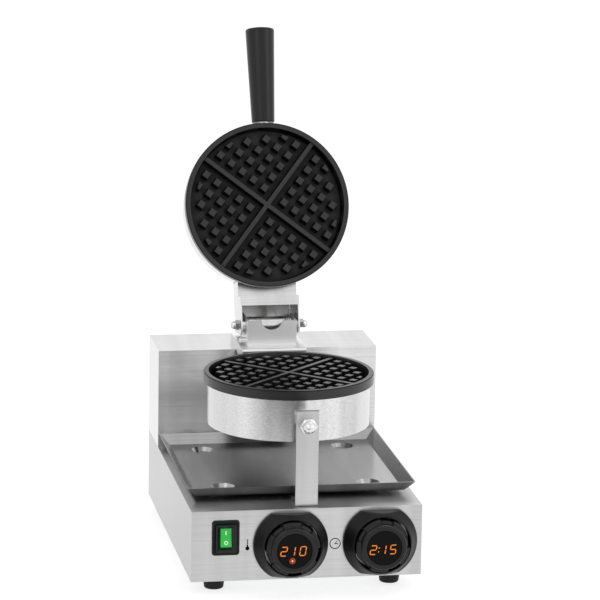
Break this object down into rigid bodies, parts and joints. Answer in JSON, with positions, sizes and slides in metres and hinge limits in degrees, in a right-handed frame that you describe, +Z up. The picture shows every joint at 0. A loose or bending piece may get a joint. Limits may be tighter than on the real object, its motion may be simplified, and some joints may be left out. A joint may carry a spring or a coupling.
{
  "type": "commercial waffle maker",
  "caption": "Countertop round waffle maker, its upper plate open on a rear hinge, with lower pan on a front post, drip tray, dials with displays and power switch.",
  "frame": {"origin": "on the floor plane under the middle of the rest pose's box, lid open", "axes": "+Z up, +X to the machine's right seen from its front, -Y to the front panel"},
  "size_m": [0.25, 0.4018, 0.561],
  "materials": {
    "brushed_steel": "fine brushed, satin",
    "bright_steel": "polished",
    "zinc_steel": "plated, plain",
    "cast_plate": "dark non-stick coating, half gloss",
    "black_plastic": "moulded, glossy",
    "satin_plastic": "moulded, satin",
    "smoked_window": "polished, smoked",
    "rocker_green": "translucent, lit from inside",
    "rubber": "moulded",
    "sleeve_white": "braided glass fibre",
    "aluminium": "plain",
    "board_green": "circuit board",
    "pale_plastic": "moulded"
  },
  "bodies": {
    "machine": {"base_housing": "brushed_steel", "bottom_plate": "zinc_steel", "panel_screws": "bright_steel", "rubber_feet": "rubber", "foot_screws": "zinc_steel", "tower_housing": "brushed_steel", "rear_panel": "brushed_steel", "cable_gland": "satin_plastic", "gland_cap": "satin_plastic", "front_post": "brushed_steel", "post_screws": "bright_steel", "post_stud": "bright_steel", "post_cap_nut": "bright_steel", "post_lock_nuts": "bright_steel", "pan_saddle": "bright_steel", "saddle_screws": "bright_steel", "pan_bushes": "bright_steel", "pan_screws": "bright_steel", "lower_shell": "bright_steel", "lower_waffle_plate": "cast_plate", "lower_heater": "zinc_steel", "lower_heater_clamp": "zinc_steel", "lower_plate_bolts": "zinc_steel", "temperature_sensor": "bright_steel", "hinge_bracket": "brushed_steel", "bracket_screws": "bright_steel", "bracket_side_screw": "bright_steel", "hinge_axle": "bright_steel", "axle_cap_nuts": "bright_steel", "axle_spacers": "bright_steel", "spring_arbor": "bright_steel", "balance_spring": "bright_steel", "lead_sleeve": "sleeve_white", "switch_gasket": "satin_plastic", "switch_body": "black_plastic", "power_board": "board_green", "terminal_block": "pale_plastic", "safety_cutout": "satin_plastic", "temperature_bezel": "satin_plastic", "temperature_encoder": "satin_plastic", "timer_bezel": "satin_plastic", "timer_encoder": "satin_plastic"},
    "lid": {"lid_shell": "bright_steel", "upper_waffle_plate": "cast_plate", "upper_heater": "zinc_steel", "upper_heater_clamp": "zinc_steel", "upper_plate_bolts": "zinc_steel", "lid_arm": "brushed_steel", "arm_cover": "brushed_steel", "arm_screws": "bright_steel", "handle_stud": "bright_steel", "handle_grip": "black_plastic"},
    "tray": {"drip_tray": "bright_steel"},
    "rocker": {"switch_rocker": "rocker_green"},
    "temperature_display": {"temperature_core": "satin_plastic", "temperature_window": "smoked_window"},
    "temperature_dial": {"temperature_knob": "black_plastic"},
    "timer_display": {"timer_core": "satin_plastic", "timer_window": "smoked_window"},
    "timer_dial": {"timer_knob": "black_plastic"}
  },
  "joints": [
    {"name": "lid_hinge", "type": "hinge", "parent": "machine", "child": "lid", "pos_m": [0, 0.09158, 0.2337], "axis": [1, 0, 0], "range_deg": [0, 108], "deforming": ["balance_spring", "lead_sleeve"]},
    {"name": "tray_slide", "type": "slide", "parent": "machine", "child": "tray", "axis": [1, 0, 0], "range_m": [0, 0.25]},
    {"name": "power_rocker", "type": "hinge", "parent": "machine", "child": "rocker", "pos_m": [-0.088, -0.17142, 0.063], "axis": [1, 0, 0], "range_deg": [0, 18]},
    {"name": "temperature_press", "type": "slide", "parent": "machine", "child": "temperature_display", "axis": [0, 1, 0], "range_m": [0, 0.001], "stiffness_N_per_m": 900, "springref_m": -0.0006},
    {"name": "temperature_turn", "type": "hinge", "parent": "temperature_display", "child": "temperature_dial", "pos_m": [-0.018, -0.18692, 0.05375], "axis": [0, 1, 0], "continuous": true},
    {"name": "timer_press", "type": "slide", "parent": "machine", "child": "timer_display", "axis": [0, 1, 0], "range_m": [0, 0.001], "stiffness_N_per_m": 900, "springref_m": -0.0006},
    {"name": "timer_turn", "type": "hinge", "parent": "timer_display", "child": "timer_dial", "pos_m": [0.0791, -0.18692, 0.05375], "axis": [0, 1, 0], "continuous": true}
  ]
}
